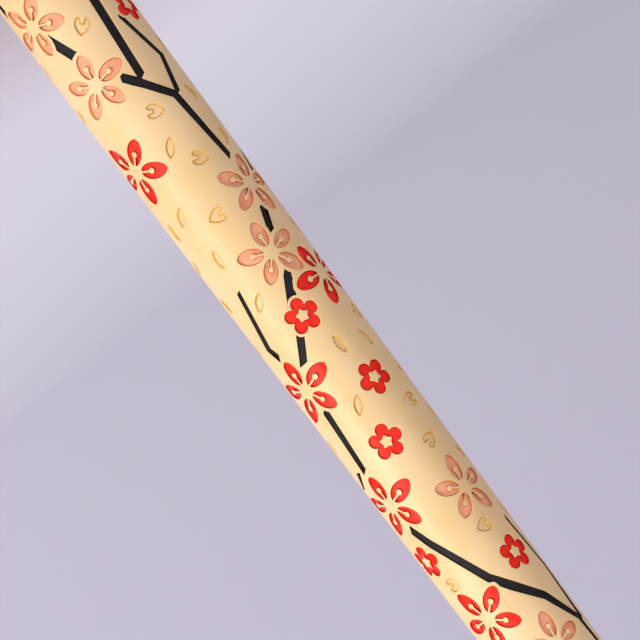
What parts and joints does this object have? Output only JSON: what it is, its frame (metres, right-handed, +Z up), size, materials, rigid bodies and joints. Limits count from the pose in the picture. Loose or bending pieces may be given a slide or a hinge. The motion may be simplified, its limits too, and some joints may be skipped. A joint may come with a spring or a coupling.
{
  "type": "oil paper umbrella",
  "caption": "Oil paper umbrella with bamboo ribs that fold along its shaft, a sliding runner with a spring latch, and a long tapered handle engraved with painted blossom.",
  "frame": {"origin": "middle of the butt's flat end face, on the shaft's axis", "axes": "+Z up along the shaft from the butt to the finial; the latch is on the -Y side; rib 01 is at +X"},
  "size_m": [0.8444, 0.8444, 0.796],
  "materials": {
    "bamboo_pole": "satin, oiled",
    "handle_lacquer": "satin lacquer, engraved and painted",
    "horn": "polished horn",
    "hub_wood": "dark lacquer",
    "wire": "drawn",
    "oiled_paper": "oiled, translucent",
    "crown_lacquer": "gloss lacquer",
    "latch_bamboo": "smooth",
    "rib_bamboo": "split, smoothed"
  },
  "bodies": {
    "frame": {"shaft": "bamboo_pole", "handle": "handle_lacquer", "butt_ferrule": "horn", "handle_collar": "horn", "head_hub": "hub_wood", "head_ring_wire": "wire", "canopy_paper": "oiled_paper", "crown": "crown_lacquer", "finial": "crown_lacquer"},
    "runner": {"runner": "hub_wood"},
    "latch": {"latch": "latch_bamboo"},
    "rib_01": {"rib_01": "rib_bamboo"},
    "stretcher_01": {"stretcher_01": "rib_bamboo"},
    "rib_02": {"rib_02": "rib_bamboo"},
    "stretcher_02": {"stretcher_02": "rib_bamboo"},
    "rib_03": {"rib_03": "rib_bamboo"},
    "stretcher_03": {"stretcher_03": "rib_bamboo"},
    "rib_04": {"rib_04": "rib_bamboo"},
    "stretcher_04": {"stretcher_04": "rib_bamboo"},
    "rib_05": {"rib_05": "rib_bamboo"},
    "stretcher_05": {"stretcher_05": "rib_bamboo"},
    "rib_06": {"rib_06": "rib_bamboo"},
    "stretcher_06": {"stretcher_06": "rib_bamboo"},
    "rib_07": {"rib_07": "rib_bamboo"},
    "stretcher_07": {"stretcher_07": "rib_bamboo"},
    "rib_08": {"rib_08": "rib_bamboo"},
    "stretcher_08": {"stretcher_08": "rib_bamboo"},
    "rib_09": {"rib_09": "rib_bamboo"},
    "stretcher_09": {"stretcher_09": "rib_bamboo"},
    "rib_10": {"rib_10": "rib_bamboo"},
    "stretcher_10": {"stretcher_10": "rib_bamboo"},
    "rib_11": {"rib_11": "rib_bamboo"},
    "stretcher_11": {"stretcher_11": "rib_bamboo"},
    "rib_12": {"rib_12": "rib_bamboo"},
    "stretcher_12": {"stretcher_12": "rib_bamboo"},
    "rib_13": {"rib_13": "rib_bamboo"},
    "stretcher_13": {"stretcher_13": "rib_bamboo"},
    "rib_14": {"rib_14": "rib_bamboo"},
    "stretcher_14": {"stretcher_14": "rib_bamboo"},
    "rib_15": {"rib_15": "rib_bamboo"},
    "stretcher_15": {"stretcher_15": "rib_bamboo"},
    "rib_16": {"rib_16": "rib_bamboo"},
    "stretcher_16": {"stretcher_16": "rib_bamboo"},
    "rib_17": {"rib_17": "rib_bamboo"},
    "stretcher_17": {"stretcher_17": "rib_bamboo"},
    "rib_18": {"rib_18": "rib_bamboo"},
    "stretcher_18": {"stretcher_18": "rib_bamboo"},
    "rib_19": {"rib_19": "rib_bamboo"},
    "stretcher_19": {"stretcher_19": "rib_bamboo"},
    "rib_20": {"rib_20": "rib_bamboo"},
    "stretcher_20": {"stretcher_20": "rib_bamboo"},
    "rib_21": {"rib_21": "rib_bamboo"},
    "stretcher_21": {"stretcher_21": "rib_bamboo"},
    "rib_22": {"rib_22": "rib_bamboo"},
    "stretcher_22": {"stretcher_22": "rib_bamboo"},
    "rib_23": {"rib_23": "rib_bamboo"},
    "stretcher_23": {"stretcher_23": "rib_bamboo"},
    "rib_24": {"rib_24": "rib_bamboo"},
    "stretcher_24": {"stretcher_24": "rib_bamboo"}
  },
  "joints": [
    {"name": "runner_slide", "type": "slide", "parent": "frame", "child": "runner", "axis": [0, 0, -1], "range_m": [0, 0.1956], "deforming": ["canopy_paper"]},
    {"name": "latch_press", "type": "slide", "parent": "frame", "child": "latch", "axis": [0, 1, 0], "range_m": [0, 0.0032], "stiffness_N_per_m": 400, "springref_m": -0.002},
    {"name": "rib_hinge_01", "type": "hinge", "parent": "frame", "child": "rib_01", "pos_m": [0.0205, 0, 0.748], "axis": [0, 1, 0], "range_deg": [0, 58.81]},
    {"name": "stretcher_hinge_01", "type": "hinge", "parent": "rib_01", "child": "stretcher_01", "pos_m": [0.18088, 0, 0.66628], "axis": [0, 1, 0], "range_deg": [-117.62, 0]},
    {"name": "rib_hinge_02", "type": "hinge", "parent": "frame", "child": "rib_02", "pos_m": [0.0198, 0.00531, 0.748], "axis": [-0.2588, 0.9659, 0], "range_deg": [0, 58.81]},
    {"name": "stretcher_hinge_02", "type": "hinge", "parent": "rib_02", "child": "stretcher_02", "pos_m": [0.17472, 0.04682, 0.66628], "axis": [-0.2588, 0.9659, 0], "range_deg": [-117.62, 0]},
    {"name": "rib_hinge_03", "type": "hinge", "parent": "frame", "child": "rib_03", "pos_m": [0.01775, 0.01025, 0.748], "axis": [-0.5, 0.866, 0], "range_deg": [0, 58.81]},
    {"name": "stretcher_hinge_03", "type": "hinge", "parent": "rib_03", "child": "stretcher_03", "pos_m": [0.15665, 0.09044, 0.66628], "axis": [-0.5, 0.866, 0], "range_deg": [-117.62, 0]},
    {"name": "rib_hinge_04", "type": "hinge", "parent": "frame", "child": "rib_04", "pos_m": [0.0145, 0.0145, 0.748], "axis": [-0.7071, 0.7071, 0], "range_deg": [0, 58.81]},
    {"name": "stretcher_hinge_04", "type": "hinge", "parent": "rib_04", "child": "stretcher_04", "pos_m": [0.1279, 0.1279, 0.66628], "axis": [-0.7071, 0.7071, 0], "range_deg": [-117.62, 0]},
    {"name": "rib_hinge_05", "type": "hinge", "parent": "frame", "child": "rib_05", "pos_m": [0.01025, 0.01775, 0.748], "axis": [-0.866, 0.5, 0], "range_deg": [0, 58.81]},
    {"name": "stretcher_hinge_05", "type": "hinge", "parent": "rib_05", "child": "stretcher_05", "pos_m": [0.09044, 0.15665, 0.66628], "axis": [-0.866, 0.5, 0], "range_deg": [-117.62, 0]},
    {"name": "rib_hinge_06", "type": "hinge", "parent": "frame", "child": "rib_06", "pos_m": [0.00531, 0.0198, 0.748], "axis": [-0.9659, 0.2588, 0], "range_deg": [0, 58.81]},
    {"name": "stretcher_hinge_06", "type": "hinge", "parent": "rib_06", "child": "stretcher_06", "pos_m": [0.04682, 0.17472, 0.66628], "axis": [-0.9659, 0.2588, 0], "range_deg": [-117.62, 0]},
    {"name": "rib_hinge_07", "type": "hinge", "parent": "frame", "child": "rib_07", "pos_m": [0, 0.0205, 0.748], "axis": [-1, 0, 0], "range_deg": [0, 58.81]},
    {"name": "stretcher_hinge_07", "type": "hinge", "parent": "rib_07", "child": "stretcher_07", "pos_m": [0, 0.18088, 0.66628], "axis": [-1, 0, 0], "range_deg": [-117.62, 0]},
    {"name": "rib_hinge_08", "type": "hinge", "parent": "frame", "child": "rib_08", "pos_m": [-0.00531, 0.0198, 0.748], "axis": [-0.9659, -0.2588, 0], "range_deg": [0, 58.81]},
    {"name": "stretcher_hinge_08", "type": "hinge", "parent": "rib_08", "child": "stretcher_08", "pos_m": [-0.04682, 0.17472, 0.66628], "axis": [-0.9659, -0.2588, 0], "range_deg": [-117.62, 0]},
    {"name": "rib_hinge_09", "type": "hinge", "parent": "frame", "child": "rib_09", "pos_m": [-0.01025, 0.01775, 0.748], "axis": [-0.866, -0.5, 0], "range_deg": [0, 58.81]},
    {"name": "stretcher_hinge_09", "type": "hinge", "parent": "rib_09", "child": "stretcher_09", "pos_m": [-0.09044, 0.15665, 0.66628], "axis": [-0.866, -0.5, 0], "range_deg": [-117.62, 0]},
    {"name": "rib_hinge_10", "type": "hinge", "parent": "frame", "child": "rib_10", "pos_m": [-0.0145, 0.0145, 0.748], "axis": [-0.7071, -0.7071, 0], "range_deg": [0, 58.81]},
    {"name": "stretcher_hinge_10", "type": "hinge", "parent": "rib_10", "child": "stretcher_10", "pos_m": [-0.1279, 0.1279, 0.66628], "axis": [-0.7071, -0.7071, 0], "range_deg": [-117.62, 0]},
    {"name": "rib_hinge_11", "type": "hinge", "parent": "frame", "child": "rib_11", "pos_m": [-0.01775, 0.01025, 0.748], "axis": [-0.5, -0.866, 0], "range_deg": [0, 58.81]},
    {"name": "stretcher_hinge_11", "type": "hinge", "parent": "rib_11", "child": "stretcher_11", "pos_m": [-0.15665, 0.09044, 0.66628], "axis": [-0.5, -0.866, 0], "range_deg": [-117.62, 0]},
    {"name": "rib_hinge_12", "type": "hinge", "parent": "frame", "child": "rib_12", "pos_m": [-0.0198, 0.00531, 0.748], "axis": [-0.2588, -0.9659, 0], "range_deg": [0, 58.81]},
    {"name": "stretcher_hinge_12", "type": "hinge", "parent": "rib_12", "child": "stretcher_12", "pos_m": [-0.17472, 0.04682, 0.66628], "axis": [-0.2588, -0.9659, 0], "range_deg": [-117.62, 0]},
    {"name": "rib_hinge_13", "type": "hinge", "parent": "frame", "child": "rib_13", "pos_m": [-0.0205, 0, 0.748], "axis": [0, -1, 0], "range_deg": [0, 58.81]},
    {"name": "stretcher_hinge_13", "type": "hinge", "parent": "rib_13", "child": "stretcher_13", "pos_m": [-0.18088, 0, 0.66628], "axis": [0, -1, 0], "range_deg": [-117.62, 0]},
    {"name": "rib_hinge_14", "type": "hinge", "parent": "frame", "child": "rib_14", "pos_m": [-0.0198, -0.00531, 0.748], "axis": [0.2588, -0.9659, 0], "range_deg": [0, 58.81]},
    {"name": "stretcher_hinge_14", "type": "hinge", "parent": "rib_14", "child": "stretcher_14", "pos_m": [-0.17472, -0.04682, 0.66628], "axis": [0.2588, -0.9659, 0], "range_deg": [-117.62, 0]},
    {"name": "rib_hinge_15", "type": "hinge", "parent": "frame", "child": "rib_15", "pos_m": [-0.01775, -0.01025, 0.748], "axis": [0.5, -0.866, 0], "range_deg": [0, 58.81]},
    {"name": "stretcher_hinge_15", "type": "hinge", "parent": "rib_15", "child": "stretcher_15", "pos_m": [-0.15665, -0.09044, 0.66628], "axis": [0.5, -0.866, 0], "range_deg": [-117.62, 0]},
    {"name": "rib_hinge_16", "type": "hinge", "parent": "frame", "child": "rib_16", "pos_m": [-0.0145, -0.0145, 0.748], "axis": [0.7071, -0.7071, 0], "range_deg": [0, 58.81]},
    {"name": "stretcher_hinge_16", "type": "hinge", "parent": "rib_16", "child": "stretcher_16", "pos_m": [-0.1279, -0.1279, 0.66628], "axis": [0.7071, -0.7071, 0], "range_deg": [-117.62, 0]},
    {"name": "rib_hinge_17", "type": "hinge", "parent": "frame", "child": "rib_17", "pos_m": [-0.01025, -0.01775, 0.748], "axis": [0.866, -0.5, 0], "range_deg": [0, 58.81]},
    {"name": "stretcher_hinge_17", "type": "hinge", "parent": "rib_17", "child": "stretcher_17", "pos_m": [-0.09044, -0.15665, 0.66628], "axis": [0.866, -0.5, 0], "range_deg": [-117.62, 0]},
    {"name": "rib_hinge_18", "type": "hinge", "parent": "frame", "child": "rib_18", "pos_m": [-0.00531, -0.0198, 0.748], "axis": [0.9659, -0.2588, 0], "range_deg": [0, 58.81]},
    {"name": "stretcher_hinge_18", "type": "hinge", "parent": "rib_18", "child": "stretcher_18", "pos_m": [-0.04682, -0.17472, 0.66628], "axis": [0.9659, -0.2588, 0], "range_deg": [-117.62, 0]},
    {"name": "rib_hinge_19", "type": "hinge", "parent": "frame", "child": "rib_19", "pos_m": [0, -0.0205, 0.748], "axis": [1, 0, 0], "range_deg": [0, 58.81]},
    {"name": "stretcher_hinge_19", "type": "hinge", "parent": "rib_19", "child": "stretcher_19", "pos_m": [0, -0.18088, 0.66628], "axis": [1, 0, 0], "range_deg": [-117.62, 0]},
    {"name": "rib_hinge_20", "type": "hinge", "parent": "frame", "child": "rib_20", "pos_m": [0.00531, -0.0198, 0.748], "axis": [0.9659, 0.2588, 0], "range_deg": [0, 58.81]},
    {"name": "stretcher_hinge_20", "type": "hinge", "parent": "rib_20", "child": "stretcher_20", "pos_m": [0.04682, -0.17472, 0.66628], "axis": [0.9659, 0.2588, 0], "range_deg": [-117.62, 0]},
    {"name": "rib_hinge_21", "type": "hinge", "parent": "frame", "child": "rib_21", "pos_m": [0.01025, -0.01775, 0.748], "axis": [0.866, 0.5, 0], "range_deg": [0, 58.81]},
    {"name": "stretcher_hinge_21", "type": "hinge", "parent": "rib_21", "child": "stretcher_21", "pos_m": [0.09044, -0.15665, 0.66628], "axis": [0.866, 0.5, 0], "range_deg": [-117.62, 0]},
    {"name": "rib_hinge_22", "type": "hinge", "parent": "frame", "child": "rib_22", "pos_m": [0.0145, -0.0145, 0.748], "axis": [0.7071, 0.7071, 0], "range_deg": [0, 58.81]},
    {"name": "stretcher_hinge_22", "type": "hinge", "parent": "rib_22", "child": "stretcher_22", "pos_m": [0.1279, -0.1279, 0.66628], "axis": [0.7071, 0.7071, 0], "range_deg": [-117.62, 0]},
    {"name": "rib_hinge_23", "type": "hinge", "parent": "frame", "child": "rib_23", "pos_m": [0.01775, -0.01025, 0.748], "axis": [0.5, 0.866, 0], "range_deg": [0, 58.81]},
    {"name": "stretcher_hinge_23", "type": "hinge", "parent": "rib_23", "child": "stretcher_23", "pos_m": [0.15665, -0.09044, 0.66628], "axis": [0.5, 0.866, 0], "range_deg": [-117.62, 0]},
    {"name": "rib_hinge_24", "type": "hinge", "parent": "frame", "child": "rib_24", "pos_m": [0.0198, -0.00531, 0.748], "axis": [0.2588, 0.9659, 0], "range_deg": [0, 58.81]},
    {"name": "stretcher_hinge_24", "type": "hinge", "parent": "rib_24", "child": "stretcher_24", "pos_m": [0.17472, -0.04682, 0.66628], "axis": [0.2588, 0.9659, 0], "range_deg": [-117.62, 0]}
  ],
  "couplings": [
    {"joint": "rib_hinge_01", "follows": "runner_slide", "rad_per_m": 5.2468},
    {"joint": "stretcher_hinge_01", "follows": "runner_slide", "rad_per_m": -10.494},
    {"joint": "rib_hinge_02", "follows": "runner_slide", "rad_per_m": 5.2468},
    {"joint": "stretcher_hinge_02", "follows": "runner_slide", "rad_per_m": -10.494},
    {"joint": "rib_hinge_03", "follows": "runner_slide", "rad_per_m": 5.2468},
    {"joint": "stretcher_hinge_03", "follows": "runner_slide", "rad_per_m": -10.494},
    {"joint": "rib_hinge_04", "follows": "runner_slide", "rad_per_m": 5.2468},
    {"joint": "stretcher_hinge_04", "follows": "runner_slide", "rad_per_m": -10.494},
    {"joint": "rib_hinge_05", "follows": "runner_slide", "rad_per_m": 5.2468},
    {"joint": "stretcher_hinge_05", "follows": "runner_slide", "rad_per_m": -10.494},
    {"joint": "rib_hinge_06", "follows": "runner_slide", "rad_per_m": 5.2468},
    {"joint": "stretcher_hinge_06", "follows": "runner_slide", "rad_per_m": -10.494},
    {"joint": "rib_hinge_07", "follows": "runner_slide", "rad_per_m": 5.2468},
    {"joint": "stretcher_hinge_07", "follows": "runner_slide", "rad_per_m": -10.494},
    {"joint": "rib_hinge_08", "follows": "runner_slide", "rad_per_m": 5.2468},
    {"joint": "stretcher_hinge_08", "follows": "runner_slide", "rad_per_m": -10.494},
    {"joint": "rib_hinge_09", "follows": "runner_slide", "rad_per_m": 5.2468},
    {"joint": "stretcher_hinge_09", "follows": "runner_slide", "rad_per_m": -10.494},
    {"joint": "rib_hinge_10", "follows": "runner_slide", "rad_per_m": 5.2468},
    {"joint": "stretcher_hinge_10", "follows": "runner_slide", "rad_per_m": -10.494},
    {"joint": "rib_hinge_11", "follows": "runner_slide", "rad_per_m": 5.2468},
    {"joint": "stretcher_hinge_11", "follows": "runner_slide", "rad_per_m": -10.494},
    {"joint": "rib_hinge_12", "follows": "runner_slide", "rad_per_m": 5.2468},
    {"joint": "stretcher_hinge_12", "follows": "runner_slide", "rad_per_m": -10.494},
    {"joint": "rib_hinge_13", "follows": "runner_slide", "rad_per_m": 5.2468},
    {"joint": "stretcher_hinge_13", "follows": "runner_slide", "rad_per_m": -10.494},
    {"joint": "rib_hinge_14", "follows": "runner_slide", "rad_per_m": 5.2468},
    {"joint": "stretcher_hinge_14", "follows": "runner_slide", "rad_per_m": -10.494},
    {"joint": "rib_hinge_15", "follows": "runner_slide", "rad_per_m": 5.2468},
    {"joint": "stretcher_hinge_15", "follows": "runner_slide", "rad_per_m": -10.494},
    {"joint": "rib_hinge_16", "follows": "runner_slide", "rad_per_m": 5.2468},
    {"joint": "stretcher_hinge_16", "follows": "runner_slide", "rad_per_m": -10.494},
    {"joint": "rib_hinge_17", "follows": "runner_slide", "rad_per_m": 5.2468},
    {"joint": "stretcher_hinge_17", "follows": "runner_slide", "rad_per_m": -10.494},
    {"joint": "rib_hinge_18", "follows": "runner_slide", "rad_per_m": 5.2468},
    {"joint": "stretcher_hinge_18", "follows": "runner_slide", "rad_per_m": -10.494},
    {"joint": "rib_hinge_19", "follows": "runner_slide", "rad_per_m": 5.2468},
    {"joint": "stretcher_hinge_19", "follows": "runner_slide", "rad_per_m": -10.494},
    {"joint": "rib_hinge_20", "follows": "runner_slide", "rad_per_m": 5.2468},
    {"joint": "stretcher_hinge_20", "follows": "runner_slide", "rad_per_m": -10.494},
    {"joint": "rib_hinge_21", "follows": "runner_slide", "rad_per_m": 5.2468},
    {"joint": "stretcher_hinge_21", "follows": "runner_slide", "rad_per_m": -10.494},
    {"joint": "rib_hinge_22", "follows": "runner_slide", "rad_per_m": 5.2468},
    {"joint": "stretcher_hinge_22", "follows": "runner_slide", "rad_per_m": -10.494},
    {"joint": "rib_hinge_23", "follows": "runner_slide", "rad_per_m": 5.2468},
    {"joint": "stretcher_hinge_23", "follows": "runner_slide", "rad_per_m": -10.494},
    {"joint": "rib_hinge_24", "follows": "runner_slide", "rad_per_m": 5.2468},
    {"joint": "stretcher_hinge_24", "follows": "runner_slide", "rad_per_m": -10.494}
  ]
}
